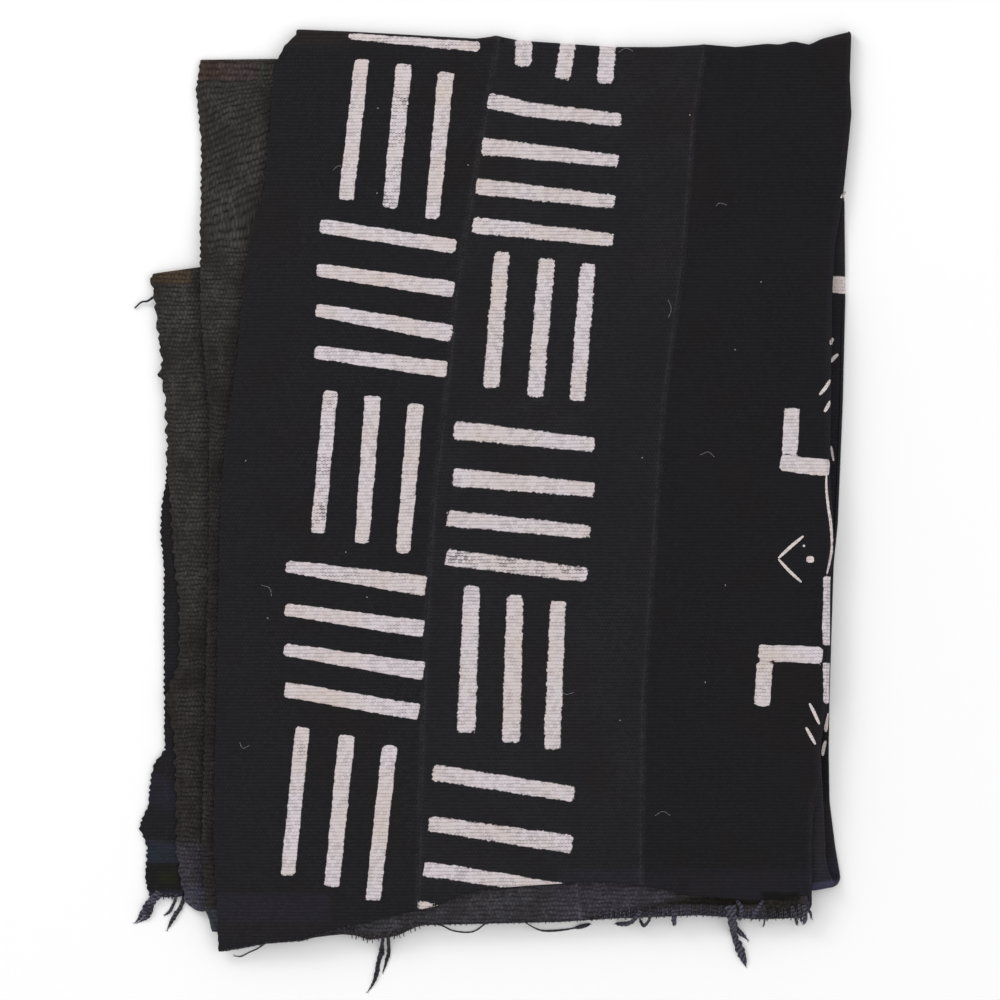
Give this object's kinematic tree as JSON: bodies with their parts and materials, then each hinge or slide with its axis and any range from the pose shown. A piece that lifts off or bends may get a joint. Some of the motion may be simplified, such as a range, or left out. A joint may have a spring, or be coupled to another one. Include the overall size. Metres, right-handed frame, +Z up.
{
  "type": "folded mud cloth",
  "caption": "Hand-woven strip cloth with a dyed and painted pattern, folded flat in layers, with frayed cut ends.",
  "frame": {"origin": "under the middle of the folded cloth's outline, on the surface it lies on", "axes": "+Z up through the layers, +Y along the woven strips towards the upper long fold, +X across them towards the side fold"},
  "size_m": [0.4294, 0.5798, 0.0161],
  "materials": {
    "painted_weave": "matte",
    "frayed_warp": "matte"
  },
  "bodies": {
    "root": {"strip_1": "painted_weave", "strip_2": "painted_weave", "strip_3": "painted_weave", "strip_4": "painted_weave", "strip_5": "painted_weave", "strip_6": "painted_weave", "frayed_end_upper": "frayed_warp", "frayed_end_core": "frayed_warp"}
  },
  "joints": []
}
